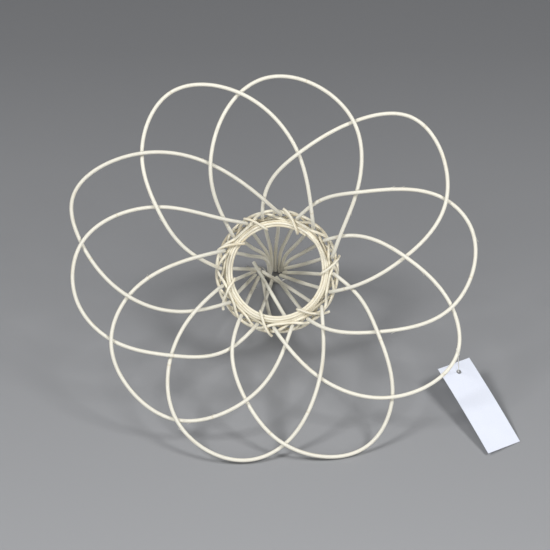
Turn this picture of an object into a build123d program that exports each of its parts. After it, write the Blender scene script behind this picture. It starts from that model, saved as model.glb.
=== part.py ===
from build123d import *
import os
from math import cos, radians, sin, sqrt, tan

os.makedirs("parts", exist_ok=True)

# An openwork flower bent from ten lengths of round reed cane, with a paper swing tag.
# It leans back on its gathered ends and on the tips of its two lowest petals.
# Millimetres and degrees. +Z is up, the open flower faces -Y and +X is its right side.
# The origin is on the ground, under the middle of the whole.

# Reed sizes
cane = 3.0                       # thickness of a petal cane
strand = 2.2                     # thickness of the thinner reed woven round the collar
wire = 1.0                       # thickness of the ties at the gathered ends

# The collar, and how the flower leans
lean = 45                        # the flower's axis rises this much from the ground
collar_middle = (-11.4, 28.4, 77.4)
leg_circle = 44.5                # radius at which the canes pass through the collar
leg_reach = 6                    # straight stretch of a leg each side of the collar's middle
hoops = {                        # radius and forward place of each hoop
    "collar_inner_hoop_1": (41.7, 1.3),
    "collar_inner_hoop_2": (41.7, -1.3),
    "collar_inner_hoop_3": (39.4, 0.9),
    "collar_inner_hoop_4": (39.4, -1.6),
    "collar_inner_hoop_5": (37.1, -0.3),
    "collar_outer_hoop_1": (47.3, 1.3),
    "collar_outer_hoop_2": (47.3, -1.3),
    "collar_outer_hoop_3": (49.5, 0),
}
lashing_gaps = (0, 4, 6, 8, 11, 14, 17)   # the gaps between legs that a lashing turn goes through
lashing_middle = 42.8            # radius of a turn's middle
lashing_slant = 38               # angle between a turn and the collar's radius
lashing_length = 22.2
lashing_height = 8.0
lashing_bend = 3.6               # bend at each corner of a turn

# The bowl that the petals lie on
rim_radius = 158
rim_forward = 42
bowl_foot = 43                   # radius at which the bowl starts, level with the collar
weave = 2.05                     # how far a cane stands off the bowl where it crosses another
shoulder = 24                    # from a petal's tip sideways to each corner beside it
set_back_tips = {8: 6.9}         # a petal whose tip hangs back from the bowl, down to the ground
stand_out = 0.28                 # how far a corner stands outside the bend that its arc makes

# Each petal: its direction, its reach, how far its tip leans to the left in degrees, and the
# radius of its crossings with the next petal, the one after that and the third one on
petals = (
    (5, 154, 7, 142, 87, 58),
    (41, 158, 8, 130, 93, 58),
    (85, 152, 9, 141, 98, 59),
    (119, 161, 2, 139, 106, 64),
    (159, 168, 2, 153, 117, 71),
    (185, 157, 3, 139, 105, 69),
    (220, 146, 1, 139, 103, 58),
    (252, 148, 9, 134, 89, 57),
    (293, 153, 4, 132, 91, 59),
    (332, 153, 4, 138, 100, 57),
)
count = len(petals)
first_direction = 6              # the collar spaces the petals evenly from this direction
spacing = 360 / count

# The gathered ends. A leg is numbered by its place round the collar.
main_stem = (-11.4, 98.9)        # middle of the upright stem that most legs end in
main_stem_radius = 7.2
main_stem_first = 240            # direction of the first leg's place round the stem
main_stem_joins = {              # the height at which each leg meets the stem
    13: 6, 16: 7, 18: 9, 19: 10, 0: 12, 1: 15, 2: 18, 3: 21, 4: 23, 5: 23, 6: 23, 7: 24, 8: 25,
}
tail_from = 12                   # legs that join the stem above this height run down beside it
uneven_ends = 3                  # the cut ends stand at this many heights, a millimetre apart
side_bunch = (-15.5, -1.5, -89)  # middle of the smaller bunch, in the collar's frame
side_bunch_radius = 3.5
side_bunch_legs = (9, 10, 11, 12, 14, 17)
side_bunch_first = 84            # direction of the first leg's place round the bunch
side_tail = 6                    # length of the ends that stand out past the bunch
stray_leg = 15
stray_end = (-19.5, 7.5, -60)    # where the one loose leg is cut off, in the collar's frame
bow = 3.5                        # how far the legs bow outwards on their way back
bow_place = 0.42                 # how far along its way a leg bows the most
leg_bows = {13: -4, 14: 5}       # where one leg passes in front of another they bow differently
stem_tie_height = 5
side_tie_place = 3               # from the middle of the side bunch back along its legs
tie_gap = 0.35                   # between a tie and the canes inside it

# Bends
bend_share = 0.45                # share of the shorter run beside a corner that its arc may take
gentlest_bend = 900

# The swing tag
tag_foot = (152.6, -97.4, 2.6)   # lower left corner
tag_across = (26.4, 14.1, -2.2)
tag_along = (-37.4, 68.9, 20.3)
tag_width = 30
tag_length = 81
tag_thickness = 0.5
tag_hole = 4.2
tag_hole_drop = 8.5              # from the top edge to the middle of the hole
thread = 0.6
hung_petal = 9                   # the petal whose tip the tag's thread is looped over
thread_room = 2.6                # from the middle of the cane to the thread round it
thread_clear = 0.9               # from the card's face or edge to the middle of the thread
thread_slope = 2.7               # how much sooner the thread outside the card's edge turns under it
thread_wide_bend = 2
thread_tight_bend = 0.8

collar_plane = Plane(
    origin=collar_middle, x_dir=(1, 0, 0), z_dir=(0, -cos(radians(lean)), sin(radians(lean)))
)
pieces = {}


def in_flower(across, up, forward):
    """A point given in the collar's own frame."""
    return collar_plane.from_local_coords(Vector(across, up, forward))


def round_collar(angle, radius, forward):
    return in_flower(radius * cos(radians(angle)), radius * sin(radians(angle)), forward)


def on_bowl(angle, radius, lift=0):
    """A point on the bowl at this angle and radius, lifted squarely off its surface."""
    depth = rim_radius - bowl_foot
    left = (rim_radius - radius) / depth
    forward = rim_forward * (1 - left**4)
    slope = 4 * rim_forward * left**3 / depth
    length = sqrt(1 + slope**2)
    return round_collar(angle, radius - lift * slope / length, forward + lift / length)


def direction_of(place):
    """A petal's direction, counting on past the last petal and back before the first."""
    return petals[place % count][0] + 360 * (place // count)


def crossing(first, step, lift):
    """Where a petal crosses the one that is this many steps further round."""
    angle = (direction_of(first) + direction_of(first + step)) / 2
    return on_bowl(angle, petals[first % count][2 + step], lift)


def leg_angle(leg):
    return first_direction + spacing / 4 + leg * spacing / 2


def half_way(back, join, leg):
    """A point part of the way from the collar to the join, bowed outwards."""
    outwards = round_collar(leg_angle(leg), 1, 0) - round_collar(0, 0, 0)
    return back + (join - back) * bow_place + outwards * leg_bows.get(leg, bow)


def leg_back(leg):
    """The points from a leg's end up to the collar."""
    back = round_collar(leg_angle(leg), leg_circle, -leg_reach)
    if leg == stray_leg:
        end = in_flower(*stray_end)
        return [end, half_way(back, end, leg), back]
    if leg in side_bunch_legs:
        place = radians(side_bunch_first + 360 / len(side_bunch_legs) * side_bunch_legs.index(leg))
        across = side_bunch[0] + side_bunch_radius * cos(place)
        up = side_bunch[1] + side_bunch_radius * sin(place)
        join = in_flower(across, up, side_bunch[2])
        end = in_flower(across, up, side_bunch[2] - side_tail + leg % uneven_ends)
        return [end, join, half_way(back, join, leg), back]
    order = list(main_stem_joins).index(leg)
    place = radians(main_stem_first + 360 / len(main_stem_joins) * order)
    x = main_stem[0] + main_stem_radius * cos(place)
    y = main_stem[1] + main_stem_radius * sin(place)
    join = Vector(x, y, main_stem_joins[leg])
    route = [join, half_way(back, join, leg), back]
    if join.Z > tail_from:
        route.insert(0, Vector(x, y, leg % uneven_ends))
    return route


def petal_loop(number):
    """The points of a petal from its left leg in the collar, round its tip, to its right leg."""
    direction, reach, tip_lean = petals[number][:3]
    left = [crossing(number, step, lift) for step, lift in ((3, -weave), (2, weave), (1, -weave))]
    right = [crossing(number - step, step, lift) for step, lift in ((1, weave), (2, -weave), (3, weave))]
    tip = on_bowl(direction + tip_lean, reach, -set_back_tips.get(number, 0))
    sideways = round_collar(direction + tip_lean + 90, shoulder, 0) - round_collar(0, 0, 0)
    left_foot = round_collar(leg_angle(left_leg(number)), leg_circle, leg_reach)
    right_foot = round_collar(leg_angle(right_leg(number)), leg_circle, leg_reach)
    bends = [left_foot, *left, tip + sideways, tip - sideways, *right, right_foot]
    loop = list(bends)
    for place in (1, 2, 3, 6, 7, 8):
        middle = (bends[place - 1] + bends[place + 1]) / 2
        loop[place] = bends[place] + (bends[place] - middle) * stand_out
    return loop


def left_leg(number):
    return (2 * number + 3) % (2 * count)


def right_leg(number):
    return (2 * number - 4) % (2 * count)


def petal_route(number):
    """The corners of one cane, from the end of its left leg to the end of its right leg."""
    return leg_back(left_leg(number)) + petal_loop(number) + leg_back(right_leg(number))[::-1]


def corner_radii(points):
    """As large an arc at each corner as its two runs allow."""
    radii = []
    for before, corner, after in zip(points, points[1:], points[2:]):
        arrive = corner - before
        leave = after - corner
        half_turn = radians(arrive.get_angle(leave)) / 2
        radii.append(min(bend_share * min(arrive.length, leave.length) / tan(half_turn), gentlest_bend))
    return radii


# Petal canes, numbered anticlockwise from the right
for number in range(count):
    points = petal_route(number)
    with BuildPart() as petal_cane:
        with BuildLine() as route:
            FilletPolyline(*points, radius=corner_radii(points))
        with BuildSketch(Plane(origin=route.line @ 0, z_dir=route.line % 0)):
            Circle(cane / 2)
        sweep()
    pieces[f"petal_cane_{number + 1:02d}"] = petal_cane

# Collar hoops, five inside the legs and three outside them
for name, (radius, forward) in hoops.items():
    with BuildPart(collar_plane.offset(forward)) as hoop:
        Torus(radius, strand / 2)
    pieces[name] = hoop

# Collar lashing: slanted turns of the same strand, each through a gap between two legs
with BuildPart() as collar_lashing:
    for gap in lashing_gaps:
        gap_angle = first_direction + gap * spacing / 2
        middle = round_collar(gap_angle, lashing_middle, 0)
        across = round_collar(gap_angle + lashing_slant, 1, 0) - round_collar(0, 0, 0)
        turn_plane = Plane(origin=middle, x_dir=across, z_dir=across.cross(collar_plane.z_dir))
        with BuildLine(turn_plane) as turn:
            FilletPolyline(
                (-lashing_length / 2, -lashing_height / 2),
                (lashing_length / 2, -lashing_height / 2),
                (lashing_length / 2, lashing_height / 2),
                (-lashing_length / 2, lashing_height / 2),
                radius=lashing_bend,
                close=True,
            )
        with BuildSketch(Plane(origin=turn.line @ 0, z_dir=turn.line % 0)):
            Circle(strand / 2)
        sweep()
pieces["collar_lashing"] = collar_lashing

# Ties round the gathered ends
stem_tie_plane = Plane(origin=(main_stem[0], main_stem[1], stem_tie_height))
with BuildPart(stem_tie_plane) as stem_tie:
    Torus(main_stem_radius + cane / 2 + wire / 2 + tie_gap, wire / 2)
pieces["stem_tie"] = stem_tie

side_tie_middle = in_flower(side_bunch[0], side_bunch[1], side_bunch[2] - side_tie_place)
with BuildPart(Plane(origin=side_tie_middle, z_dir=collar_plane.z_dir)) as side_tie:
    Torus(side_bunch_radius + cane / 2 + wire / 2 + tie_gap, wire / 2)
pieces["side_tie"] = side_tie

# Swing tag, a blank card with a hole near its top edge
tag_plane = Plane(origin=tag_foot, x_dir=tag_across, z_dir=Vector(*tag_across).cross(Vector(*tag_along)))
with BuildPart() as swing_tag:
    with BuildSketch(tag_plane):
        Rectangle(tag_width, tag_length, align=(Align.MIN, Align.MIN))
        with Locations((tag_width / 2, tag_length - tag_hole_drop)):
            Circle(tag_hole / 2, mode=Mode.SUBTRACT)
    extrude(amount=tag_thickness)
pieces["swing_tag"] = swing_tag

# Thread loop, over the petal's tip, down through the hole and back up round the tag's top edge
direction, reach, tip_lean = petals[hung_petal][:3]
hang_point = on_bowl(direction + tip_lean, reach)
hole_point = tag_plane.from_local_coords(Vector(tag_width / 2, tag_length - tag_hole_drop, 0))
drop = (hole_point - hang_point).length
under = drop + thread_clear
past_edge = tag_hole_drop + thread_clear
thread_plane = Plane(
    origin=hang_point, x_dir=hole_point - hang_point, z_dir=(hole_point - hang_point).cross(tag_plane.y_dir)
)
with BuildPart() as tag_thread:
    with BuildLine(thread_plane) as loop:
        FilletPolyline(
            (-thread_room, -thread_room),
            (-thread_room, thread_room),
            (under - thread_slope, past_edge),
            (under, past_edge),
            (under, 0),
            radius=(*[thread_wide_bend] * 2, *[thread_tight_bend] * 3),
            close=True,
        )
    with BuildSketch(Plane(origin=loop.line @ 0, z_dir=loop.line % 0)):
        Circle(thread / 2)
    sweep()
pieces["tag_thread"] = tag_thread

for name, piece in pieces.items():
    piece.part.label = name
    export_step(piece.part, f"parts/{name}.step")
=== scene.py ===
import math

import bmesh
import bpy
import numpy as np
from mathutils import Matrix, Vector


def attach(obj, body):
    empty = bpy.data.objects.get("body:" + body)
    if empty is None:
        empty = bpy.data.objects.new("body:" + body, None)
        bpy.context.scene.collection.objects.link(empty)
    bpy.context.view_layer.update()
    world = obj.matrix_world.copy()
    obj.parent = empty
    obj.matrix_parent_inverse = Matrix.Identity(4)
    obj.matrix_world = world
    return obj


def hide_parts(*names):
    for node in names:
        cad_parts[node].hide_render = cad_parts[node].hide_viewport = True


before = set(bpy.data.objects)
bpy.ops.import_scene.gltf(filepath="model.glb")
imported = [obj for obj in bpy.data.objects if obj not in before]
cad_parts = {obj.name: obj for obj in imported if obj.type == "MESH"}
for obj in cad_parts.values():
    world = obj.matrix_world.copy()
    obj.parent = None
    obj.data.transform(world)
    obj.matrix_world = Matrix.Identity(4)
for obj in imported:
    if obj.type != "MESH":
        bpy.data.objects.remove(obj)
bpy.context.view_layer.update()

mm = 0.001

# The flower's own frame: out of the open flower, across it and up its face
stand = {
    "collarMiddle": (-11.4, 28.4, 77.4),
    "lean": 45,
}
leanTurn = math.radians(stand["lean"])
collarMiddle = np.array(stand["collarMiddle"])
acrossWay = np.array((1.0, 0.0, 0.0))
upWay = np.array((0.0, math.sin(leanTurn), math.cos(leanTurn)))
outWay = np.array((0.0, -math.cos(leanTurn), math.sin(leanTurn)))


def inFlower(across, up, forward):
    return collarMiddle + across * acrossWay + up * upWay + forward * outWay


def roundCollar(angle, radius, forward):
    turn = math.radians(angle)
    return inFlower(radius * math.cos(turn), radius * math.sin(turn), forward)


# camera and lights

view = {
    "distance": 1300,
    "lens": 106.4,
    "sensor": 36,
    "across": -1.76,
    "up": -2.88,
}
cameraData = bpy.data.cameras.new("viewCamera")
cameraData.lens = view["lens"]
cameraData.sensor_width = view["sensor"]
camera = bpy.data.objects.new("viewCamera", cameraData)
bpy.context.collection.objects.link(camera)
cameraTurn = Matrix((acrossWay, upWay, outWay)).transposed().to_4x4()
cameraPlace = Vector(inFlower(view["across"], view["up"], view["distance"]) * mm)
camera.matrix_world = Matrix.Translation(cameraPlace) @ cameraTurn
bpy.context.scene.camera = camera
bpy.context.scene.view_settings.view_transform = "Standard"

lighting = {
    "lampSize": 0.42,
    "lampHeight": 1.25,
    "lampAside": 0.85,
    "lampForward": -0.30,
    "lampAim": (0, 0, 0.05),
    "lampWatts": (12.4, 11.4),
    "fillSize": 0.9,
    "fillPlace": (0.1, -0.95, 0.5),
    "fillAim": (0, -0.3, 0),
    "fillWatts": 4.5,
    "skyStrength": 0.14,
    "skyColour": (0.94, 0.97, 1.0, 1),
}


def makeLamp(name, place, aim, size, watts):
    lampData = bpy.data.lights.new(name, "AREA")
    lampData.shape = "DISK"
    lampData.size = size
    lampData.energy = watts
    lamp = bpy.data.objects.new(name, lampData)
    bpy.context.collection.objects.link(lamp)
    lamp.location = place
    lamp.rotation_euler = (Vector(place) - Vector(aim)).to_track_quat("Z", "Y").to_euler()


for side, watts in zip((-1, 1), lighting["lampWatts"]):
    makeLamp(
        "leftLamp" if side < 0 else "rightLamp",
        (side * lighting["lampAside"], lighting["lampForward"], lighting["lampHeight"]),
        lighting["lampAim"],
        lighting["lampSize"],
        watts,
    )

makeLamp("frontFill", lighting["fillPlace"], lighting["fillAim"], lighting["fillSize"], lighting["fillWatts"])

sky = bpy.data.worlds.new("studioSky")
sky.use_nodes = True
skyNode = sky.node_tree.nodes["Background"]
skyNode.inputs["Color"].default_value = lighting["skyColour"]
skyNode.inputs["Strength"].default_value = lighting["skyStrength"]
bpy.context.scene.world = sky
print("camera and lights made")


# node helpers

def putNode(tree, kind, **settings):
    node = tree.nodes.new(kind)
    for key, value in settings.items():
        setattr(node, key, value)
    return node


def join(tree, source, target):
    tree.links.new(source, target)


def mathsNode(tree, operation, first, second=None, kind="ShaderNodeMath"):
    # a maths node on two sockets or numbers
    node = putNode(tree, kind, operation=operation)
    for place, value in enumerate((first, second)):
        if value is None:
            continue
        if isinstance(value, (int, float, tuple)):
            node.inputs[place].default_value = value
        else:
            join(tree, value, node.inputs[place])
    return node.outputs[0]


def newMaterial(name):
    finish = bpy.data.materials.new(name)
    finish.use_nodes = True
    tree = finish.node_tree
    shader = tree.nodes["Principled BSDF"]
    return finish, tree, shader


def rampNode(tree, source, stops):
    ramp = putNode(tree, "ShaderNodeValToRGB")
    join(tree, source, ramp.inputs["Fac"])
    points = ramp.color_ramp.elements
    while len(points) < len(stops):
        points.new(0.5)
    for point, (place, colour) in zip(points, stops):
        point.position = place
        point.color = (*colour, 1)
    return ramp.outputs["Color"]


def noiseNode(tree, vector, scale, detail=2.0, roughness=0.5):
    noise = putNode(tree, "ShaderNodeTexNoise")
    noise.inputs["Scale"].default_value = scale
    noise.inputs["Detail"].default_value = detail
    noise.inputs["Roughness"].default_value = roughness
    join(tree, vector, noise.inputs["Vector"])
    return noise.outputs["Fac"]


def spreadNode(tree, value, given, wanted):
    spread = putNode(tree, "ShaderNodeMapRange")
    for label, number in zip(("From Min", "From Max", "To Min", "To Max"), (*given, *wanted)):
        spread.inputs[label].default_value = number
    join(tree, value, spread.inputs["Value"])
    return spread.outputs[0]


def bumpShader(tree, shader, height, strength, distance):
    bump = putNode(tree, "ShaderNodeBump")
    bump.inputs["Strength"].default_value = strength
    bump.inputs["Distance"].default_value = distance
    join(tree, height, bump.inputs["Height"])
    join(tree, bump.outputs[0], shader.inputs["Normal"])


def blendColours(tree, amount, first, second, mode="MIX"):
    mix = putNode(tree, "ShaderNodeMix", data_type="RGBA", blend_type=mode)
    for socket, value in ((0, amount), (6, first), (7, second)):
        if isinstance(value, (int, float, tuple)):
            mix.inputs[socket].default_value = value
        else:
            join(tree, value, mix.inputs[socket])
    return mix.outputs[2]


# reed finish: cream cane with a lengthwise grain, tan patches and now and then a node scar; on the collar the
# tan patches and deeper colours are partly painted shade between its strands

reedLook = {
    "petalTan": 0.0,    # share of tan patches
    "petalColours": ((0.80, 0.775, 0.68), (0.70, 0.66, 0.545), (0.55, 0.46, 0.30)),    # palest, cream, tan
    # the collar's larger tan share and its deeper, more saturated colours are painted shade for the recesses
    # between its strands, on top of the reed's own tan patches
    "collarTanAndShade": 0.14,
    "collarShadedColours": ((0.81, 0.77, 0.645), (0.70, 0.64, 0.485), (0.54, 0.43, 0.25)),
    "grainAcross": 2.6,
    "grainAlong": 0.10,
    "grainNoise": (1.6, 5.0, 0.62),    # scale, detail, roughness
    "grainStops": (0.28, 0.52, 0.80),
    "grainDepth": 0.00009,
    "grainStrength": 0.55,
    "streakNoise": (0.55, 2.0, 0.5),
    "streakShare": 0.8,
    "patchLength": 38,
    "patchAcross": 0.35,
    "patchNoise": (1.0, 3.0, 0.55),
    "tanStarts": 1.02,
    "tanFull": 1.34,
    "tanStrength": 0.75,
    "toneShift": 61.0,
    "toneDarkest": 0.93,
    "toneRange": 0.12,
    "scarEvery": 173.0,
    "scarWidth": 0.006,
    "scarStrength": 0.42,
    "scarDepth": 0.6,
    "roughness": (0.42, 0.66),
    "shine": 0.42,
    "sheen": 0.08,
}


def makeReedFinish(name, tanAndShadeShare, colours):
    look = reedLook
    palest, cream, tan = colours
    finish, tree, shader = newMaterial(name)
    around = putNode(tree, "ShaderNodeAttribute", attribute_name="reedAround").outputs["Vector"]
    along = putNode(tree, "ShaderNodeAttribute", attribute_name="reedAlong").outputs["Fac"]
    tone = putNode(tree, "ShaderNodeAttribute", attribute_name="reedTone").outputs["Fac"]
    # grain runs along the cane: fine across it, long down it
    alongMm = mathsNode(tree, "MULTIPLY", along, 1000.0)
    parts = putNode(tree, "ShaderNodeSeparateXYZ")
    join(tree, around, parts.inputs[0])
    place = putNode(tree, "ShaderNodeCombineXYZ")
    for axis in (0, 1):
        join(tree, mathsNode(tree, "MULTIPLY", parts.outputs[axis], look["grainAcross"]), place.inputs[axis])
    alongGrain = mathsNode(tree, "MULTIPLY", alongMm, look["grainAlong"])
    toneShift = mathsNode(tree, "MULTIPLY", tone, look["toneShift"])
    join(tree, mathsNode(tree, "ADD", alongGrain, toneShift), place.inputs[2])
    grain = noiseNode(tree, place.outputs[0], *look["grainNoise"])
    streak = noiseNode(tree, place.outputs[0], *look["streakNoise"])
    # slow patches down the length
    patchPlace = putNode(tree, "ShaderNodeCombineXYZ")
    patchAlong = mathsNode(tree, "MULTIPLY", alongMm, 1.0 / look["patchLength"])
    join(tree, mathsNode(tree, "ADD", patchAlong, toneShift), patchPlace.inputs[0])
    join(tree, mathsNode(tree, "MULTIPLY", parts.outputs[0], look["patchAcross"]), patchPlace.inputs[1])
    patch = noiseNode(tree, patchPlace.outputs[0], *look["patchNoise"])
    base = rampNode(tree, grain, tuple(zip(look["grainStops"], (cream, palest, cream))))
    # tan patches are the reed's own; with the collar's larger share they also lay painted shade between its
    # strands
    tanAmount = mathsNode(tree, "ADD", patch, mathsNode(tree, "MULTIPLY", streak, look["streakShare"]))
    tanPlaces = (look["tanStarts"] - tanAndShadeShare, look["tanFull"] - tanAndShadeShare)
    tanAndShadeMask = spreadNode(tree, tanAmount, tanPlaces, (0, 1))
    tanned = mathsNode(tree, "MULTIPLY", tanAndShadeMask, look["tanStrength"])
    colour = blendColours(tree, tanned, base, (*tan, 1))
    # each cane a touch lighter or darker than the next
    shade = putNode(tree, "ShaderNodeHueSaturation")
    toneLift = mathsNode(tree, "MULTIPLY", tone, look["toneRange"])
    join(tree, mathsNode(tree, "ADD", toneLift, look["toneDarkest"]), shade.inputs["Value"])
    join(tree, colour, shade.inputs["Color"])
    # a node scar: a narrow darker ring every so often
    scarPhase = mathsNode(tree, "ADD", mathsNode(tree, "MULTIPLY", alongMm, 1 / look["scarEvery"]), tone)
    fromScar = mathsNode(tree, "SUBTRACT", mathsNode(tree, "FRACT", scarPhase), 0.5)
    scar = mathsNode(tree, "ABSOLUTE", fromScar)
    scarMask = spreadNode(tree, scar, (0, look["scarWidth"]), (look["scarStrength"], 0))
    join(tree, blendColours(tree, scarMask, shade.outputs[0], (*tan, 1)), shader.inputs["Base Color"])
    join(tree, spreadNode(tree, grain, (0, 1), look["roughness"]), shader.inputs["Roughness"])
    shader.inputs["Specular IOR Level"].default_value = look["shine"]
    shader.inputs["Sheen Weight"].default_value = look["sheen"]
    height = mathsNode(tree, "SUBTRACT", grain, mathsNode(tree, "MULTIPLY", scarMask, look["scarDepth"]))
    bumpShader(tree, shader, height, look["grainStrength"], look["grainDepth"])
    return finish


petalReed = makeReedFinish("petalReed", reedLook["petalTan"], reedLook["petalColours"])
# the collar finish: the reed's colours darkened and more tanned as painted shade between the collar's strands
collarReed = makeReedFinish("collarReed", reedLook["collarTanAndShade"], reedLook["collarShadedColours"])


# a smooth run through corner points, spaced by their distance apart

def smoothRun(corners, step=1.5):
    corners = np.array(corners, float)
    gaps = np.linalg.norm(np.diff(corners, axis=0), axis=1)
    count = len(corners)
    rows = np.zeros((count, count))
    right = np.zeros((count, 3))
    rows[0, 0] = rows[-1, -1] = 1
    for i in range(1, count - 1):
        rows[i, i - 1 : i + 2] = gaps[i - 1], 2 * (gaps[i - 1] + gaps[i]), gaps[i]
        right[i] = 6 * ((corners[i + 1] - corners[i]) / gaps[i] - (corners[i] - corners[i - 1]) / gaps[i - 1])
    bend = np.linalg.solve(rows, right)
    run = []
    for i in range(count - 1):
        pieces = max(2, round(gaps[i] / step))
        for t in np.arange(pieces) / pieces:
            s = 1 - t
            pull = ((s**3 - s) * bend[i] + (t**3 - t) * bend[i + 1]) * gaps[i] ** 2 / 6
            run.append(s * corners[i] + t * corners[i + 1] + pull)
    run.append(corners[-1])
    return np.array(run)


def makePath(name, runs, closed=False):
    # a curve object through the runs, which are in millimetres
    path = bpy.data.curves.new(name, "CURVE")
    path.dimensions = "3D"
    for run in runs:
        spline = path.splines.new("POLY")
        spline.points.add(len(run) - 1)
        spline.points.foreach_set("co", np.c_[np.array(run) * mm, np.ones(len(run))].ravel())
        spline.use_cyclic_u = closed
    body = bpy.data.objects.new(name, path)
    bpy.context.collection.objects.link(body)
    return body


# geometry nodes: a reed grown along a path, with stray fibres

def newTree(name, inputs):
    tree = bpy.data.node_groups.new(name, "GeometryNodeTree")
    tree.interface.new_socket("Geometry", in_out="INPUT", socket_type="NodeSocketGeometry")
    for label, kind, value in inputs:
        socket = tree.interface.new_socket(label, in_out="INPUT", socket_type="NodeSocket" + kind)
        if value is not None:
            socket.default_value = value
    tree.interface.new_socket("Geometry", in_out="OUTPUT", socket_type="NodeSocketGeometry")
    start = putNode(tree, "NodeGroupInput")
    end = putNode(tree, "NodeGroupOutput")
    return tree, start.outputs, end.inputs


def storeAttribute(tree, geometry, name, kind, value):
    store = putNode(tree, "GeometryNodeStoreNamedAttribute", data_type=kind, domain="POINT")
    join(tree, geometry, store.inputs["Geometry"])
    store.inputs["Name"].default_value = name
    target = [s for s in store.inputs if s.name == "Value" and s.enabled][0]
    join(tree, value, target)
    return store.outputs[0]


growth = {
    "waveAlong": 55.0,
    "waveApart": 97.0,
    "fibrePoints": 6,
    # a fibre's handles: how far out in cane thicknesses, how far along in fibre lengths
    "fibreShape": (
        ("Start", 0.46, 0.0),
        ("Start Handle", 0.50, 0.3),
        ("End Handle", 0.55, 0.7),
        ("End", 0.85, 1.0),
    ),
    "fibreRadius": 0.00011,
    "fibreTaper": 0.8,
    "fibreSides": 4,
    "fibreScale": (0.6, 1.25),
}


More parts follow.
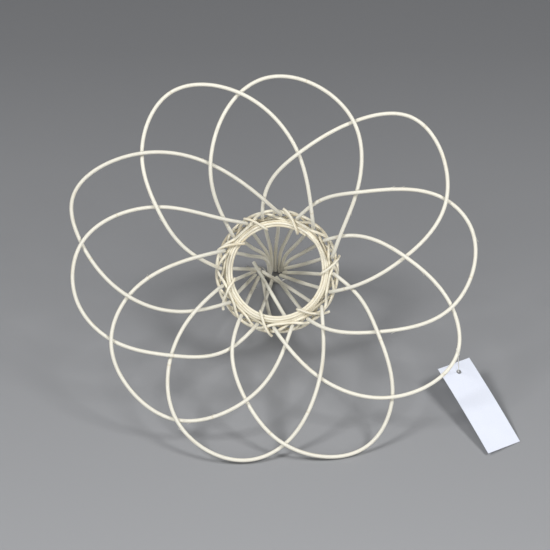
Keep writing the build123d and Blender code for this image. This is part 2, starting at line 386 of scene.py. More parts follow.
def makeReedTree():
    tree, given, result = newTree("growReed", (
        ("Thickness", "Float", 0.003),
        ("Sides", "Int", 16),
        ("Spacing", "Float", 0.0015),
        ("Unevenness", "Float", 0.05),
        ("Fibres", "Float", 0.0),
        ("Fibre length", "Float", 0.005),
        ("Seed", "Int", 1),
        ("Finish", "Material", None),
    ))
    resample = putNode(tree, "GeometryNodeResampleCurve", mode="LENGTH")
    join(tree, given["Geometry"], resample.inputs["Curve"])
    join(tree, given["Spacing"], resample.inputs["Length"])
    along = putNode(tree, "GeometryNodeSplineParameter").outputs["Length"]
    path = storeAttribute(tree, resample.outputs[0], "reedAlong", "FLOAT", along)
    whichCurve = putNode(tree, "GeometryNodeCurveOfPoint").outputs["Curve Index"]
    tone = putNode(tree, "FunctionNodeRandomValue", data_type="FLOAT")
    join(tree, whichCurve, tone.inputs["ID"])
    join(tree, given["Seed"], tone.inputs["Seed"])
    path = storeAttribute(tree, path, "reedTone", "FLOAT", tone.outputs[1])
    # the reed swells and thins a little down its length
    wavePlace = putNode(tree, "ShaderNodeCombineXYZ")
    join(tree, mathsNode(tree, "MULTIPLY", along, growth["waveAlong"]), wavePlace.inputs[0])
    join(tree, mathsNode(tree, "MULTIPLY", tone.outputs[1], growth["waveApart"]), wavePlace.inputs[1])
    join(tree, given["Seed"], wavePlace.inputs[2])
    wave = noiseNode(tree, wavePlace.outputs[0], 1.0, 2.0)
    swell = mathsNode(tree, "MULTIPLY", mathsNode(tree, "SUBTRACT", wave, 0.5), given["Unevenness"])
    halfThick = mathsNode(tree, "MULTIPLY", given["Thickness"], 0.5)
    radius = mathsNode(tree, "ADD", swell, 1.0)
    setRadius = putNode(tree, "GeometryNodeSetCurveRadius")
    join(tree, path, setRadius.inputs["Curve"])
    join(tree, radius, setRadius.inputs["Radius"])
    profile = putNode(tree, "GeometryNodeCurvePrimitiveCircle")
    join(tree, given["Sides"], profile.inputs["Resolution"])
    join(tree, halfThick, profile.inputs["Radius"])
    roundFactor = putNode(tree, "GeometryNodeSplineParameter").outputs["Factor"]
    turn = mathsNode(tree, "MULTIPLY", roundFactor, 2 * math.pi)
    ringPlace = putNode(tree, "ShaderNodeCombineXYZ")
    join(tree, mathsNode(tree, "COSINE", turn), ringPlace.inputs[0])
    join(tree, mathsNode(tree, "SINE", turn), ringPlace.inputs[1])
    ring = storeAttribute(tree, profile.outputs[0], "reedAround", "FLOAT_VECTOR", ringPlace.outputs[0])
    sweep = putNode(tree, "GeometryNodeCurveToMesh")
    join(tree, setRadius.outputs[0], sweep.inputs["Curve"])
    join(tree, ring, sweep.inputs["Profile Curve"])
    sweep.inputs["Fill Caps"].default_value = True
    smooth = putNode(tree, "GeometryNodeSetShadeSmooth")
    join(tree, sweep.outputs[0], smooth.inputs["Geometry"])
    # stray fibres, split off the cane and lying almost along it
    sprigPoints = putNode(tree, "GeometryNodeCurveToPoints", mode="EVALUATED")
    join(tree, path, sprigPoints.inputs["Curve"])
    bare = putNode(tree, "FunctionNodeRandomValue", data_type="BOOLEAN")
    join(tree, mathsNode(tree, "SUBTRACT", 1.0, given["Fibres"]), bare.inputs["Probability"])
    join(tree, given["Seed"], bare.inputs["Seed"])
    keep = putNode(tree, "GeometryNodeDeleteGeometry", domain="POINT")
    join(tree, sprigPoints.outputs["Points"], keep.inputs["Geometry"])
    join(tree, bare.outputs[3], keep.inputs["Selection"])
    sprig = putNode(tree, "GeometryNodeCurvePrimitiveBezierSegment")
    sprig.inputs["Resolution"].default_value = growth["fibrePoints"]
    for label, out, onward in growth["fibreShape"]:
        spot = putNode(tree, "ShaderNodeCombineXYZ")
        join(tree, mathsNode(tree, "MULTIPLY", given["Thickness"], out), spot.inputs[0])
        join(tree, mathsNode(tree, "MULTIPLY", given["Fibre length"], onward), spot.inputs[2])
        join(tree, spot.outputs[0], sprig.inputs[label])
    taper = putNode(tree, "GeometryNodeSetCurveRadius")
    join(tree, sprig.outputs[0], taper.inputs["Curve"])
    sprigFactor = putNode(tree, "GeometryNodeSplineParameter").outputs["Factor"]
    thinned = mathsNode(tree, "MULTIPLY", sprigFactor, growth["fibreTaper"])
    join(tree, mathsNode(tree, "SUBTRACT", 1.0, thinned), taper.inputs["Radius"])
    hair = putNode(tree, "GeometryNodeCurvePrimitiveCircle")
    hair.inputs["Resolution"].default_value = growth["fibreSides"]
    hair.inputs["Radius"].default_value = growth["fibreRadius"]
    sprigMesh = putNode(tree, "GeometryNodeCurveToMesh")
    join(tree, taper.outputs[0], sprigMesh.inputs["Curve"])
    join(tree, hair.outputs[0], sprigMesh.inputs["Profile Curve"])
    sprigMesh.inputs["Fill Caps"].default_value = True
    sprigScale = putNode(tree, "FunctionNodeRandomValue", data_type="FLOAT")
    sprigScale.inputs[2].default_value, sprigScale.inputs[3].default_value = growth["fibreScale"]
    join(tree, given["Seed"], sprigScale.inputs["Seed"])
    place = putNode(tree, "GeometryNodeInstanceOnPoints")
    join(tree, keep.outputs[0], place.inputs["Points"])
    join(tree, sprigMesh.outputs[0], place.inputs["Instance"])
    join(tree, sprigPoints.outputs["Rotation"], place.inputs["Rotation"])
    spin = putNode(tree, "GeometryNodeRotateInstances")
    join(tree, place.outputs[0], spin.inputs["Instances"])
    spinTurn = putNode(tree, "FunctionNodeRandomValue", data_type="FLOAT_VECTOR")
    spinTurn.inputs[0].default_value = (0, 0, 0)
    spinTurn.inputs[1].default_value = (0, 0, 2 * math.pi)
    join(tree, given["Seed"], spinTurn.inputs["Seed"])
    join(tree, spinTurn.outputs[0], spin.inputs["Rotation"])
    both = putNode(tree, "GeometryNodeJoinGeometry")
    join(tree, spin.outputs[0], both.inputs[0])
    join(tree, smooth.outputs[0], both.inputs[0])
    real = putNode(tree, "GeometryNodeRealizeInstances")
    join(tree, both.outputs[0], real.inputs[0])
    dress = putNode(tree, "GeometryNodeSetMaterial")
    join(tree, real.outputs[0], dress.inputs["Geometry"])
    join(tree, given["Finish"], dress.inputs["Material"])
    join(tree, dress.outputs[0], result[0])
    return tree


def growPiece(path, tree, values, body, nodes):
    # runs the tree on the path, keeps the mesh it gives and drops the path
    modifier = path.modifiers.new("grow", "NODES")
    modifier.node_group = tree
    sockets = {s.name: s.identifier for s in tree.interface.items_tree if s.in_out == "INPUT"}
    for label, value in values.items():
        modifier[sockets[label]] = value
    path.update_tag()
    graph = bpy.context.evaluated_depsgraph_get()
    grown = path.evaluated_get(graph)
    mesh = bpy.data.meshes.new_from_object(grown, preserve_all_data_layers=True, depsgraph=graph)
    name = path.name
    bpy.data.objects.remove(path)
    mesh.name = name
    piece = bpy.data.objects.new(name, mesh)
    bpy.context.collection.objects.link(piece)
    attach(piece, body)
    if nodes:
        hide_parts(*nodes)


reedTree = makeReedTree()
print("reed tree made")

# petals

petals = {
    "thickness": 3.0,
    "rimRadius": 158,
    "rimForward": 42,
    "bowlFoot": 43,
    "weave": 1.75,
    "setBack": {8: 6.9},
    "unevenness": 0.10,
    "fibres": 0.02,
    "fibreLength": 4.5,
    "sides": 16,
    "spacing": 1.5,
    "firstSeed": 11,
    # direction, reach, tip lean, then the radius of the crossings with the next three petals
    "shapes": (
        (5, 154, 7, 142, 87, 58),
        (41, 158, 8, 130, 93, 58),
        (85, 149.5, 9, 141, 98, 59),
        (119, 161, 2, 139, 106, 64),
        (159, 168, 2, 153, 117, 71),
        (185, 157, 3, 139, 105, 69),
        (220, 146, 1, 139, 103, 58),
        (252, 148, 9, 134, 89, 57),
        (293, 153, 4, 132, 91, 59),
        (332, 153, 4, 138, 100, 57),
    ),
}
legs = {
    "circle": 45.3,
    "firstAngle": 15,
    "apart": 18,
    "footOut": 0.3,
    "footReach": 5,
    "reach": 6,
    "stem": (-11.4, 98.9),
    "stemRadius": 7.2,
    "stemFirst": 240,
    # the height at which each leg meets the stem
    "stemJoins": {
        13: 6, 16: 7, 18: 9, 19: 10, 0: 12, 1: 15, 2: 18, 3: 21, 4: 23, 5: 23, 6: 23, 7: 24, 8: 25,
    },
    "tailFrom": 12,
    "bunch": (-15.5, -1.5, -89),
    "bunchRadius": 3.5,
    "bunchFirst": 84,
    "bunchLegs": (9, 10, 11, 12, 14, 17),
    "bunchTail": 6,
    "stray": 15,
    "strayEnd": (-19.5, 7.5, -60),
    "bow": 2.2,
    "bows": {13: -4, 14: 5},
    "bowPlace": 0.42,
    "straightFrom": 0.20,
    "bendFrom": 0.5,
    "middleFrom": 0.6,
}
petalCount = len(petals["shapes"])


def onBowl(angle, radius, lift=0.0):
    depth = petals["rimRadius"] - petals["bowlFoot"]
    left = (petals["rimRadius"] - radius) / depth
    forward = petals["rimForward"] * (1 - left**4)
    slope = 4 * petals["rimForward"] * left**3 / depth
    length = math.sqrt(1 + slope**2)
    return roundCollar(angle, radius - lift * slope / length, forward + lift / length)


def directionOf(place):
    return petals["shapes"][place % petalCount][0] + 360 * (place // petalCount)


def crossing(first, step, lift):
    angle = (directionOf(first) + directionOf(first + step)) / 2
    return onBowl(angle, petals["shapes"][first % petalCount][2 + step], lift)


def legAngle(leg):
    return legs["firstAngle"] + legs["apart"] * leg


def legBack(leg):
    # from a leg's cut end up to the back of the collar
    back = roundCollar(legAngle(leg), legs["circle"], -legs["reach"])
    outwards = roundCollar(legAngle(leg), 1, 0) - collarMiddle

    def halfWay(target):
        return back + (target - back) * legs["bowPlace"] + outwards * legs["bows"].get(leg, legs["bow"])

    if leg == legs["stray"]:
        end = inFlower(*legs["strayEnd"])
        return [end, halfWay(end), back]
    if leg in legs["bunchLegs"]:
        place = legs["bunchLegs"].index(leg)
        turn = math.radians(legs["bunchFirst"] + 360 / len(legs["bunchLegs"]) * place)
        across = legs["bunch"][0] + legs["bunchRadius"] * math.cos(turn)
        up = legs["bunch"][1] + legs["bunchRadius"] * math.sin(turn)
        meet = inFlower(across, up, legs["bunch"][2])
        end = inFlower(across, up, legs["bunch"][2] - legs["bunchTail"] + leg % 3)
        middle = halfWay(meet)
        return [end, meet, meet + (middle - meet) * legs["straightFrom"], middle, back]
    order = list(legs["stemJoins"]).index(leg)
    turn = math.radians(legs["stemFirst"] + 360 / len(legs["stemJoins"]) * order)
    x = legs["stem"][0] + legs["stemRadius"] * math.cos(turn)
    y = legs["stem"][1] + legs["stemRadius"] * math.sin(turn)
    meet = np.array((x, y, float(legs["stemJoins"][leg])))
    middle = halfWay(meet)
    if meet[2] <= legs["tailFrom"]:
        return [meet, middle, back]
    # a leg that runs down beside the stem rounds the bend into it
    bottom = np.array((x, y, float(leg % 3)))
    into = bottom + (meet - bottom) * legs["bendFrom"]
    onward = [meet + (middle - meet) * legs[share] for share in ("straightFrom", "middleFrom")]
    return [bottom, into, *onward, middle, back]


def petalRoute(number):
    direction, reach, tipLean = petals["shapes"][number][:3]
    weave = petals["weave"]
    leftLeg = (2 * number + 3) % (2 * petalCount)
    rightLeg = (2 * number - 4) % (2 * petalCount)
    left = [crossing(number, step, lift) for step, lift in ((3, -weave), (2, weave), (1, -weave))]
    right = [crossing(number - step, step, lift) for step, lift in ((1, weave), (2, -weave), (3, weave))]
    tip = onBowl(direction + tipLean, reach, -petals["setBack"].get(number, 0))
    footRadius = legs["circle"] + legs["footOut"]
    leftFoot = roundCollar(legAngle(leftLeg), footRadius, legs["footReach"])
    rightFoot = roundCollar(legAngle(rightLeg), footRadius, legs["footReach"])
    return legBack(leftLeg) + [leftFoot, *left, tip, *right, rightFoot] + legBack(rightLeg)[::-1]


petalRuns = [smoothRun(petalRoute(number)) for number in range(petalCount)]
for number, run in enumerate(petalRuns):
    path = makePath(f"petalReed{number + 1:02d}", [run])
    growPiece(path, reedTree, {
        "Thickness": petals["thickness"] * mm,
        "Sides": petals["sides"],
        "Spacing": petals["spacing"] * mm,
        "Unevenness": petals["unevenness"],
        "Fibres": petals["fibres"],
        "Fibre length": petals["fibreLength"] * mm,
        "Seed": petals["firstSeed"] + number,
        "Finish": petalReed,
    }, "flower", [f"petal_cane_{number + 1:02d}"])
print("petals grown")

# collar: a long strand wound inside the legs, four strands woven round them, lashing over all

collar = {
    "strand": 2.2,
    # radius and forward place of each turn of the inner winding
    "inner": ((36.7, 0.6), (38.6, 1.7), (40.2, 0.5), (37.6, -1.5), (39.6, -1.9)),
    "innerStart": 52,
    "innerWander": 0.35,
    "innerDrift": 0.45,
    "stepInFrom": 0.86,    # share of a turn after which the winding moves on to the next place
    "angleStep": 2.0,
    "weaver": 2.4,
    "weaveSwing": 3.3,
    "weaveSquareness": 1.35,
    # forward place, and the middle of an arc that goes outside two legs, in degrees
    "weavers": ((1.9, 24), (-0.4, 42), (-2.7, 60), (-5.0, 78)),
    "weavesRound": 5,
    "weaverStart": 40,
    "weaverStartsApart": 120,
    "weaverTurn": 371,    # past a full turn, so that the ends lie side by side
    "weaverDrift": 0.3,
    # each lashing turn: where it starts outside and ends inside the collar in degrees, its tip's radius
    "lashings": (
        (122, 104, 49.6), (84, 62, 50.2), (14, -4, 51.4), (-38, -62, 52.6),
        (-95, -113, 51.8), (-145, -170, 52.8), (160, 140, 50.2),
    ),
    "lashingInner": 34.4,
    "lashingFront": 4.1,
    "lashingBack": -7.6,
    "lashingStep": 0.6,
    "unevenness": 0.16,
    "fibres": 0.008,
    "fibreLength": 3,
    "sides": 14,
    "spacing": 1.2,
}


def drift(angle, seed):
    # a slow wander round the collar, the same each time
    turn = math.radians(angle)
    return sum(math.sin(k * turn + seed * 1.7 * k + k) / k for k in (2, 3, 5)) / 1.4


innerRun = []
turns = len(collar["inner"])
for angle in np.arange(0, 360 * turns + 0.1, collar["angleStep"]):
    turnNumber = min(int(angle // 360), turns - 1)
    into = (angle - 360 * turnNumber) / 360
    radius, forward = collar["inner"][turnNumber]
    if turnNumber + 1 < turns and into > collar["stepInFrom"]:
        share = (into - collar["stepInFrom"]) / (1 - collar["stepInFrom"])
        share = share * share * (3 - 2 * share)
        nextRadius, nextForward = collar["inner"][turnNumber + 1]
        radius += (nextRadius - radius) * share
        forward += (nextForward - forward) * share
    radius += drift(angle, 0) * collar["innerWander"]
    forward += drift(angle, 3 + turnNumber * 0.4) * collar["innerDrift"]
    innerRun.append(roundCollar(angle + collar["innerStart"], radius, forward))

weaverRuns = []
for number, (forward, arcMiddle) in enumerate(collar["weavers"]):
    run = []
    start = collar["weaverStart"] + collar["weaverStartsApart"] * number
    for angle in np.arange(start, start + collar["weaverTurn"], collar["angleStep"]):
        wave = math.cos(math.radians(collar["weavesRound"] * (angle - arcMiddle)))
        swing = math.tanh(collar["weaveSquareness"] * wave) / math.tanh(collar["weaveSquareness"])
        radius = legs["circle"] + collar["weaveSwing"] * swing
        run.append(roundCollar(angle, radius, forward + collar["weaverDrift"] * drift(angle, number + 7)))
    weaverRuns.append(run)

lashingRuns = []
for outerAngle, innerAngle, outer in collar["lashings"]:
    inner, front, back = collar["lashingInner"], collar["lashingFront"], collar["lashingBack"]
    slant = outerAngle - innerAngle
    width = outer - inner
    # share of the slant, radius and forward place, from the cut tip round to the tucked end
    turn = (
        (-0.02, outer, front - 1.4),
        (0.12, outer - 0.10 * width, front - 0.3),
        (0.38, outer - 0.36 * width, front + 0.3),
        (0.70, inner + 0.28 * width, front),
        (0.92, inner + 1.0, front - 1.5),
        (1.00, inner, 0.6),
        (1.00, inner, -2.4),
        (0.90, inner + 1.6, back + 0.9),
        (0.60, inner + 0.40 * width, back - 0.3),
        (0.30, inner + 0.72 * width, back + 0.1),
        (0.22, inner + 0.80 * width, back + 0.2),
    )
    corners = [roundCollar(outerAngle - share * slant, radius, forward) for share, radius, forward in turn]
    lashingRuns.append(smoothRun(corners, collar["lashingStep"]))

hoopNodes = [f"collar_inner_hoop_{n}" for n in range(1, 6)]
outerNodes = [f"collar_outer_hoop_{n}" for n in range(1, 4)]
for name, runs, thickness, seed, nodes in (
    ("collarWinding", [innerRun], collar["strand"], 31, hoopNodes),
    ("collarWeavers", weaverRuns, collar["weaver"], 32, outerNodes),
    ("collarLashing", lashingRuns, collar["strand"], 33, ["collar_lashing"]),
):
    growPiece(makePath(name, runs), reedTree, {
        "Thickness": thickness * mm,
        "Sides": collar["sides"],
        "Spacing": collar["spacing"] * mm,
        "Unevenness": collar["unevenness"],
        "Fibres": collar["fibres"],
        "Fibre length": collar["fibreLength"] * mm,
        "Seed": seed,
        "Finish": collarReed,
    }, "flower", nodes)
print("collar woven")

# ties of thin wire round the gathered ends

ties = {
    "wire": 1.0,
    "stemRadius": 9.35,
    "stemHeight": 4.4,
    "bunchRadius": 5.65,
    "bunchBack": 92.5,
    "pitch": 1.08,
    "turns": 2.2,
    "tailLength": 6.5,
    "tailPitch": 3.2,
    "tailClear": 0.3,
    "tailStep": 0.3,
    "tailTwistOut": 0.52,    # of the wire's thickness
    "coilStep": 6.0,
    "stemTailAngle": 195,
    "bunchTailAngle": 150,
    "unevenness": 0.04,
    "sides": 10,
    "spacing": 0.5,
    "noise": (900.0, 4.0, 0.6),
    "metal": ((0.3, (0.36, 0.35, 0.33)), (0.7, (0.62, 0.61, 0.58))),
    "roughness": (0.34, 0.58),
}


def makeWireFinish():
    finish, tree, shader = newMaterial("tieWire")
    place = putNode(tree, "ShaderNodeTexCoord").outputs["Object"]
    dull = noiseNode(tree, place, *ties["noise"])
    join(tree, rampNode(tree, dull, ties["metal"]), shader.inputs["Base Color"])
    join(tree, spreadNode(tree, dull, (0, 1), ties["roughness"]), shader.inputs["Roughness"])
    shader.inputs["Metallic"].default_value = 1
    return finish


tieWire = makeWireFinish()


def tieRuns(middle, firstWay, secondWay, alongWay, radius, tailAngle):
    # a few close turns, then the two ends twisted together
    def spot(angle, out, shift):
        turn = math.radians(angle)
        return middle + (math.cos(turn) * firstWay + math.sin(turn) * secondWay) * out + alongWay * shift

    coil = [
        spot(tailAngle + step, radius, (step / 360 - ties["turns"] / 2) * ties["pitch"])
        for step in np.arange(0, 360 * ties["turns"], ties["coilStep"])
    ]
    turn = math.radians(tailAngle)
    outward = math.cos(turn) * firstWay + math.sin(turn) * secondWay
    sideways = np.cross(alongWay, outward)
    twists = []
    for phase in (0, math.pi):
        tail = []
        for reach in np.arange(0, ties["tailLength"], ties["tailStep"]):
            twist = phase + 2 * math.pi * reach / ties["tailPitch"]
            swirl = (math.cos(twist) * alongWay + math.sin(twist) * sideways) * ties["wire"]
            out = radius + reach + ties["tailClear"]
            tail.append(middle + outward * out + swirl * ties["tailTwistOut"])
        twists.append(tail)
    return [coil, *twists]


stemMiddle = np.array((*legs["stem"], ties["stemHeight"]))
bunchMiddle = inFlower(legs["bunch"][0], legs["bunch"][1], -ties["bunchBack"])
upward = np.array((0.0, 0.0, 1.0))
towardsBack = np.array((0.0, 1.0, 0.0))
stemTurns = tieRuns(
    stemMiddle, acrossWay, towardsBack, upward, ties["stemRadius"], ties["stemTailAngle"]
)
bunchTurns = tieRuns(
    bunchMiddle, acrossWay, upWay, outWay, ties["bunchRadius"], ties["bunchTailAngle"]
)
for name, runs, node in (("stemTie", stemTurns, "stem_tie"), ("sideTie", bunchTurns, "side_tie")):
    growPiece(makePath(name, runs), reedTree, {
        "Thickness": ties["wire"] * mm,
        "Sides": ties["sides"],
        "Spacing": ties["spacing"] * mm,
        "Unevenness": ties["unevenness"],
        "Seed": 51,
        "Finish": tieWire,
    }, "flower", [node])
print("ties wound")

# swing tag: a blank card, a little bowed, with a punched hole

card = {
    "foot": (152.6, -97.4, 2.6),
    "across": (26.4, 14.1, -2.2),
    "along": (-37.4, 68.9, 20.3),
    "width": 30,
    "length": 81,
    "thickness": 0.42,
    "hole": 4.2,
    "holeDrop": 8.5,
    "bow": 0.9,
    "twist": 0.5,
    "columns": 12,
    "rows": 26,
    "sideSteps": 7,
    "ringsRoundHole": 8,
    "ringSpread": 1.6,
    "edge": 0.07,
    "fibreNoise": (1400.0, 5.0, 0.7),
    "paper": ((0.30, (0.70, 0.73, 0.815)), (0.65, (0.75, 0.78, 0.865))),
    "cloudNoise": (60.0, 3.0, 0.5),
    "cloud": ((0.3, (0.975, 0.975, 0.985)), (0.7, (1, 1, 1))),
    "roughness": (0.55, 0.72),
    "shine": 0.3,
    "fibreStrength": 0.35,
    "fibreDepth": 0.00003,
}
cardFoot = np.array(card["foot"])
cardAcross = np.array(card["across"]) / np.linalg.norm(card["across"])
cardOut = np.cross(cardAcross, card["along"])
cardOut = cardOut / np.linalg.norm(cardOut)
cardAlong = np.cross(cardOut, cardAcross)
holeSpot = (card["width"] / 2, card["length"] - card["holeDrop"])


def onCard(u, v, out=0.0):
    bow = card["bow"] * math.sin(math.pi * v / card["length"])
    twist = card["twist"] * (u / card["width"] - 0.5) * (v / card["length"] - 0.5)
    return cardFoot + cardAcross * u + cardAlong * v + cardOut * (bow + twist + out)


def makeCardFinish():
    finish, tree, shader = newMaterial("tagCard")
    place = putNode(tree, "ShaderNodeTexCoord").outputs["Object"]
    fibre = noiseNode(tree, place, *card["fibreNoise"])
    cloud = noiseNode(tree, place, *card["cloudNoise"])
    paper = rampNode(tree, fibre, card["paper"])
    dim = rampNode(tree, cloud, card["cloud"])
    join(tree, blendColours(tree, 1.0, paper, dim, "MULTIPLY"), shader.inputs["Base Color"])
    join(tree, spreadNode(tree, fibre, (0, 1), card["roughness"]), shader.inputs["Roughness"])
    shader.inputs["Specular IOR Level"].default_value = card["shine"]
    bumpShader(tree, shader, fibre, card["fibreStrength"], card["fibreDepth"])
    return finish


def makeCard():
    build = bmesh.new()
    split = card["length"] - 2 * card["holeDrop"]
    columns, rows = card["columns"], card["rows"]
    grid = [
        [
            build.verts.new(onCard(card["width"] * c / columns, split * r / rows) * mm)
            for c in range(columns + 1)
        ]
        for r in range(rows + 1)
    ]
    for r in range(rows):
        for c in range(columns):
            build.faces.new((grid[r][c], grid[r][c + 1], grid[r + 1][c + 1], grid[r + 1][c]))
    # rings of faces between the hole and the card's top end
    width, high, steps = card["width"], 2 * card["holeDrop"], card["sideSteps"]
    outline = [(width * c / columns, split) for c in range(columns)]
    outline += [(width, split + high * c / steps) for c in range(steps)]
    outline += [(width - width * c / columns, split + high) for c in range(columns)]
    outline += [(0, split + high - high * c / steps) for c in range(steps)]
    rings = []
    for ring in range(card["ringsRoundHole"] + 1):
        share = (ring / card["ringsRoundHole"]) ** card["ringSpread"]
        spots = []
        for u, v in outline:
            turn = math.atan2(v - holeSpot[1], u - holeSpot[0])
            holeU = holeSpot[0] + card["hole"] / 2 * math.cos(turn)
            holeV = holeSpot[1] + card["hole"] / 2 * math.sin(turn)
            spot = onCard(holeU + (u - holeU) * share, holeV + (v - holeV) * share)
            spots.append(build.verts.new(spot * mm))
        rings.append(spots)
    for inner, outer in zip(rings, rings[1:]):
        for c in range(len(outline)):
            n = (c + 1) % len(outline)
            build.faces.new((inner[c], outer[c], outer[n], inner[n]))
    bmesh.ops.remove_doubles(build, verts=build.verts, dist=1e-6)
    mesh = bpy.data.meshes.new("cardFlat")
    build.to_mesh(mesh)
    build.free()
    flat = bpy.data.objects.new("cardFlat", mesh)
    bpy.context.collection.objects.link(flat)
    thicken = flat.modifiers.new("thickness", "SOLIDIFY")
    thicken.thickness = card["thickness"] * mm
    thicken.offset = 1
    soften = flat.modifiers.new("edges", "BEVEL")
    soften.width = card["edge"] * mm
    soften.segments = 2
    soften.limit_method = "ANGLE"
    graph = bpy.context.evaluated_depsgraph_get()
    solid = bpy.data.meshes.new_from_object(flat.evaluated_get(graph), depsgraph=graph)
    bpy.data.objects.remove(flat)
    solid.name = "swingTag"
    solid.materials.clear()
    solid.materials.append(makeCardFinish())
    piece = bpy.data.objects.new("swingTag", solid)
    bpy.context.collection.objects.link(piece)
    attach(piece, "tag")
    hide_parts("swing_tag")


makeCard()
print("tag made")

# the tag's thread: two plies twisted, looped over the petal and through the hole

thread = {
    "ply": 0.36,
    "plyOut": 0.15,
    "turns": 78,
    "snug": 2.25,
    "knotFrom": 5.6,
    "knotTo": 8.2,
    "bend": 1.5,
    "pastEdge": 9.4,
    "underCard": 0.9,
    "slope": 2.7,
    "hungPetal": 9,
    "knotTurns": 3.2,
    "knotTwist": 12,
    "knotStart": 0.2,
    "knotShare": 0.9,
    "knotRadius": 0.78,
    "knotSway": 0.10,
    "knotSwayPace": 0.31,
    "knotStep": 0.35,
    "hookShare": 0.6,
    "apartAtKnot": 0.45,
    "apartBelow": 0.35,
    "plySides": 7,
    "spacing": 0.25,
    "fluffNoise": (5200.0, 4.0, 0.7),
    "cotton": ((0.3, (0.74, 0.72, 0.66)), (0.7, (0.90, 0.89, 0.85))),
    "roughness": 0.85,
    "sheen": 0.35,
    "fluffStrength": 0.5,
    "fluffDepth": 0.00004,
}


def roundedLoop(corners, bend):
    # straight runs with a small even bend at each corner
    corners = [np.array(corner, float) for corner in corners]
    loop = []
    for before, corner, after in zip(corners[-1:] + corners[:-1], corners, corners[1:] + corners[:1]):
        arrive, leave = corner - before, after - corner
        cut = min(bend, 0.45 * np.linalg.norm(arrive), 0.45 * np.linalg.norm(leave))
        first = corner - arrive / np.linalg.norm(arrive) * cut
        last = corner + leave / np.linalg.norm(leave) * cut
        for t in np.linspace(0, 1, 7):
            loop.append((1 - t) ** 2 * first + 2 * t * (1 - t) * corner + t**2 * last)
    return loop


def makeThreadTree():
    tree, given, result = newTree("twistPlies", (
        ("Ply thickness", "Float", 0.0003),
        ("Ply distance", "Float", 0.00015),
        ("Turns", "Float", 60.0),
        ("Spacing", "Float", 0.00025),
        ("Finish", "Material", None),
    ))
    both = putNode(tree, "GeometryNodeJoinGeometry")
    profile = putNode(tree, "GeometryNodeCurvePrimitiveCircle")
    profile.inputs["Resolution"].default_value = thread["plySides"]
    join(tree, mathsNode(tree, "MULTIPLY", given["Ply thickness"], 0.5), profile.inputs["Radius"])
    for phase in (0.0, math.pi):
        resample = putNode(tree, "GeometryNodeResampleCurve", mode="LENGTH")
        join(tree, given["Geometry"], resample.inputs["Curve"])
        join(tree, given["Spacing"], resample.inputs["Length"])
        factor = putNode(tree, "GeometryNodeSplineParameter").outputs["Factor"]
        allTurns = mathsNode(tree, "MULTIPLY", factor, given["Turns"])
        turned = mathsNode(tree, "MULTIPLY", allTurns, 2 * math.pi)
        turn = mathsNode(tree, "ADD", turned, phase)
        normal = putNode(tree, "GeometryNodeInputNormal").outputs[0]
        tangent = putNode(tree, "GeometryNodeInputTangent").outputs[0]
        other = putNode(tree, "ShaderNodeVectorMath", operation="CROSS_PRODUCT")
        join(tree, normal, other.inputs[0])
        join(tree, tangent, other.inputs[1])
        swirl = []
        for way, wave in ((normal, "COSINE"), (other.outputs[0], "SINE")):
            part = putNode(tree, "ShaderNodeVectorMath", operation="SCALE")
            join(tree, way, part.inputs[0])
            reach = mathsNode(tree, "MULTIPLY", mathsNode(tree, wave, turn), given["Ply distance"])
            join(tree, reach, part.inputs["Scale"])
            swirl.append(part.outputs[0])
        offset = mathsNode(tree, "ADD", *swirl, kind="ShaderNodeVectorMath")
        shift = putNode(tree, "GeometryNodeSetPosition")
        join(tree, resample.outputs[0], shift.inputs["Geometry"])
        join(tree, offset, shift.inputs["Offset"])
        sweep = putNode(tree, "GeometryNodeCurveToMesh")
        join(tree, shift.outputs[0], sweep.inputs["Curve"])
        join(tree, profile.outputs[0], sweep.inputs["Profile Curve"])
        sweep.inputs["Fill Caps"].default_value = True
        join(tree, sweep.outputs[0], both.inputs[0])
    smooth = putNode(tree, "GeometryNodeSetShadeSmooth")
    join(tree, both.outputs[0], smooth.inputs["Geometry"])
    real = putNode(tree, "GeometryNodeRealizeInstances")
    join(tree, smooth.outputs[0], real.inputs[0])
    dress = putNode(tree, "GeometryNodeSetMaterial")
    join(tree, real.outputs[0], dress.inputs["Geometry"])
    join(tree, given["Finish"], dress.inputs["Material"])
    join(tree, dress.outputs[0], result[0])
    return tree


def makeThreadFinish():
    finish, tree, shader = newMaterial("tagThread")
    place = putNode(tree, "ShaderNodeTexCoord").outputs["Object"]
    fluff = noiseNode(tree, place, *thread["fluffNoise"])
    join(tree, rampNode(tree, fluff, thread["cotton"]), shader.inputs["Base Color"])
    shader.inputs["Roughness"].default_value = thread["roughness"]
    shader.inputs["Sheen Weight"].default_value = thread["sheen"]
    bumpShader(tree, shader, fluff, thread["fluffStrength"], thread["fluffDepth"])
    return finish


hungDirection, hungReach, hungLean = petals["shapes"][thread["hungPetal"]][:3]
hangPoint = onBowl(hungDirection + hungLean, hungReach)
holePoint = cardFoot + cardAcross * holeSpot[0] + cardAlong * holeSpot[1]
drop = np.linalg.norm(holePoint - hangPoint)
downWay = (holePoint - hangPoint) / drop
sideWay = np.cross(downWay, cardAlong)
sideWay = sideWay / np.linalg.norm(sideWay)
edgeWay = np.cross(sideWay, downWay)
snug, under = thread["snug"], drop + thread["underCard"]
hook, apart, below = snug * thread["hookShare"], thread["apartAtKnot"], thread["apartBelow"]
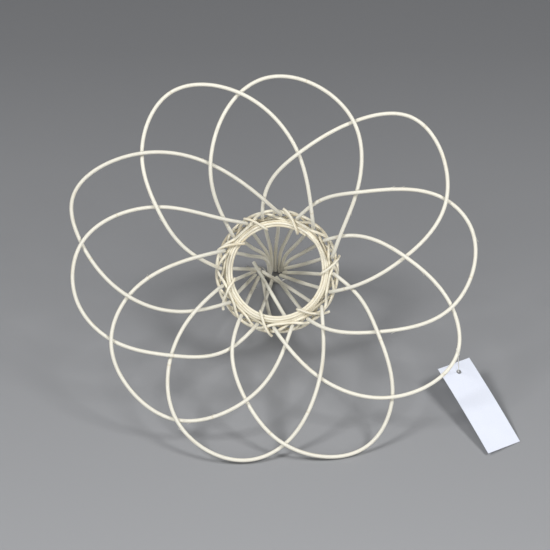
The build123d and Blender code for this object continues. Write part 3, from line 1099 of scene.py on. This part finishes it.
# over the petal's cane, down through the knot, past the card's top edge and back up through its hole
loopCorners = (
    (hook, -snug), (-snug, -snug), (-snug, snug), (hook, snug),
    (thread["knotFrom"], apart), (thread["knotTo"], below),
    (under - thread["slope"], thread["pastEdge"]), (under, thread["pastEdge"]), (under, 0),
    (thread["knotTo"], -below), (thread["knotFrom"], -apart),
)
loopSpots = [hangPoint + downWay * a + edgeWay * b for a, b in loopCorners]
threadLoop = roundedLoop(loopSpots, thread["bend"])
knot = []
knotAngle = 2 * math.pi * thread["knotTurns"]
knotLength = thread["knotTo"] - thread["knotFrom"]
for turn in np.arange(0, knotAngle, thread["knotStep"]):
    reach = thread["knotFrom"] + thread["knotStart"] + knotLength * turn / knotAngle * thread["knotShare"]
    wide = thread["knotRadius"] + thread["knotSway"] * math.sin(turn * thread["knotSwayPace"])
    knot.append(hangPoint + downWay * reach + (edgeWay * math.cos(turn) + sideWay * math.sin(turn)) * wide)
threadTree = makeThreadTree()
threadFinish = makeThreadFinish()
for name, runs, closed, turns in (
    ("tagThread", [threadLoop], True, thread["turns"]),
    ("threadKnot", [knot], False, thread["knotTwist"]),
):
    growPiece(makePath(name, runs, closed), threadTree, {
        "Ply thickness": thread["ply"] * mm,
        "Ply distance": thread["plyOut"] * mm,
        "Turns": float(turns),
        "Spacing": thread["spacing"] * mm,
        "Finish": threadFinish,
    }, "tag", ["tag_thread"] if closed else [])
print("thread tied")

# the floor, whose colour darkens towards the back: painted shade standing in for the lamps' light falling off
backdrop = {
    "halfSize": 4,
    "nearColour": (0.312, 0.316, 0.327, 1),
    "farPaintedShade": (0.196, 0.199, 0.207, 1),
    "nearPlace": -0.30,
    "farPlace": 0.42,
    "roughness": 0.8,
}
floorMesh = bpy.data.meshes.new("studioFloor")
half = backdrop["halfSize"]
floorCorners = [(-half, -half, 0), (half, -half, 0), (half, half, 0), (-half, half, 0)]
floorMesh.from_pydata(floorCorners, [], [(0, 1, 2, 3)])
floor = bpy.data.objects.new("studioFloor", floorMesh)
bpy.context.collection.objects.link(floor)
floorFinish, floorTree, floorShader = newMaterial("studioFloor")
floorParts = putNode(floorTree, "ShaderNodeSeparateXYZ")
join(floorTree, putNode(floorTree, "ShaderNodeTexCoord").outputs["Object"], floorParts.inputs[0])
paintedFalloffPlaces = (backdrop["nearPlace"], backdrop["farPlace"])
# painted shade: the floor's colour goes from the near colour to a darker far colour in place of light falling
# off
paintedFalloff = spreadNode(floorTree, floorParts.outputs[1], paintedFalloffPlaces, (0, 1))
floorColour = blendColours(floorTree, paintedFalloff, backdrop["nearColour"], backdrop["farPaintedShade"])
join(floorTree, floorColour, floorShader.inputs["Base Color"])
floorShader.inputs["Roughness"].default_value = backdrop["roughness"]
floorMesh.materials.append(floorFinish)
